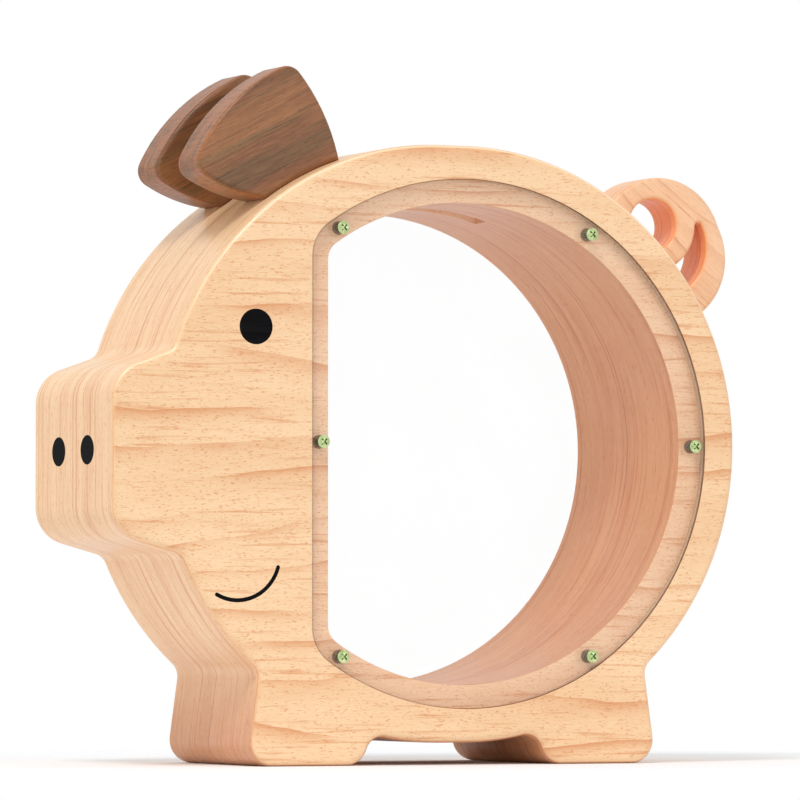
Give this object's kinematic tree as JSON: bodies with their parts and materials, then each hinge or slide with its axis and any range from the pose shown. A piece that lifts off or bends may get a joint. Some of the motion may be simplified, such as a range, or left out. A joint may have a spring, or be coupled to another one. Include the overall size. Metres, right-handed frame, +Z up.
{
  "type": "wooden money box",
  "caption": "Pig-shaped wooden coin bank with a D-shaped chamber behind clear screwed windows, a top coin slot, two ears and a curled tail.",
  "frame": {"origin": "on the ground under the middle of the object's length, in the glue plane between the two boards", "axes": "+X from the snout to the tail, +Y from the front window to the rear window, +Z up"},
  "size_m": [0.2098, 0.0678, 0.2049],
  "materials": {
    "pine": "sanded, clear satin oil, horizontal grain",
    "walnut": "sanded, clear satin oil, slanting grain",
    "dowel_wood": "plain turned beech",
    "clear_acrylic": "clear polished sheet",
    "zinc": "yellow-green zinc plated",
    "black_inlay": "matt black"
  },
  "bodies": {
    "root": {"front_board": "pine", "rear_board": "pine", "front_ear": "walnut", "rear_ear": "walnut", "front_ear_dowels": "dowel_wood", "rear_ear_dowels": "dowel_wood", "tail": "pine", "tail_dowels": "dowel_wood", "front_eye": "black_inlay", "rear_eye": "black_inlay", "front_smile": "black_inlay", "rear_smile": "black_inlay", "front_nostril": "black_inlay", "rear_nostril": "black_inlay"},
    "front_window": {"front_window": "clear_acrylic"},
    "front_screw_1": {"front_screw_1": "zinc"},
    "front_screw_2": {"front_screw_2": "zinc"},
    "front_screw_3": {"front_screw_3": "zinc"},
    "front_screw_4": {"front_screw_4": "zinc"},
    "front_screw_5": {"front_screw_5": "zinc"},
    "front_screw_6": {"front_screw_6": "zinc"},
    "rear_window": {"rear_window": "clear_acrylic"},
    "rear_screw_1": {"rear_screw_1": "zinc"},
    "rear_screw_2": {"rear_screw_2": "zinc"},
    "rear_screw_3": {"rear_screw_3": "zinc"},
    "rear_screw_4": {"rear_screw_4": "zinc"},
    "rear_screw_5": {"rear_screw_5": "zinc"},
    "rear_screw_6": {"rear_screw_6": "zinc"}
  },
  "joints": [
    {"name": "front_window_lift", "type": "slide", "parent": "root", "child": "front_window", "axis": [0, -1, 0], "range_m": [0, 0.04]},
    {"name": "front_screw_1_out", "type": "slide", "parent": "front_window", "child": "front_screw_1", "axis": [0, -1, 0], "range_m": [0, 0.014]},
    {"name": "front_screw_2_out", "type": "slide", "parent": "front_window", "child": "front_screw_2", "axis": [0, -1, 0], "range_m": [0, 0.014]},
    {"name": "front_screw_3_out", "type": "slide", "parent": "front_window", "child": "front_screw_3", "axis": [0, -1, 0], "range_m": [0, 0.014]},
    {"name": "front_screw_4_out", "type": "slide", "parent": "front_window", "child": "front_screw_4", "axis": [0, -1, 0], "range_m": [0, 0.014]},
    {"name": "front_screw_5_out", "type": "slide", "parent": "front_window", "child": "front_screw_5", "axis": [0, -1, 0], "range_m": [0, 0.014]},
    {"name": "front_screw_6_out", "type": "slide", "parent": "front_window", "child": "front_screw_6", "axis": [0, -1, 0], "range_m": [0, 0.014]},
    {"name": "rear_window_lift", "type": "slide", "parent": "root", "child": "rear_window", "axis": [0, 1, 0], "range_m": [0, 0.04]},
    {"name": "rear_screw_1_out", "type": "slide", "parent": "rear_window", "child": "rear_screw_1", "axis": [0, 1, 0], "range_m": [0, 0.014]},
    {"name": "rear_screw_2_out", "type": "slide", "parent": "rear_window", "child": "rear_screw_2", "axis": [0, 1, 0], "range_m": [0, 0.014]},
    {"name": "rear_screw_3_out", "type": "slide", "parent": "rear_window", "child": "rear_screw_3", "axis": [0, 1, 0], "range_m": [0, 0.014]},
    {"name": "rear_screw_4_out", "type": "slide", "parent": "rear_window", "child": "rear_screw_4", "axis": [0, 1, 0], "range_m": [0, 0.014]},
    {"name": "rear_screw_5_out", "type": "slide", "parent": "rear_window", "child": "rear_screw_5", "axis": [0, 1, 0], "range_m": [0, 0.014]},
    {"name": "rear_screw_6_out", "type": "slide", "parent": "rear_window", "child": "rear_screw_6", "axis": [0, 1, 0], "range_m": [0, 0.014]}
  ]
}
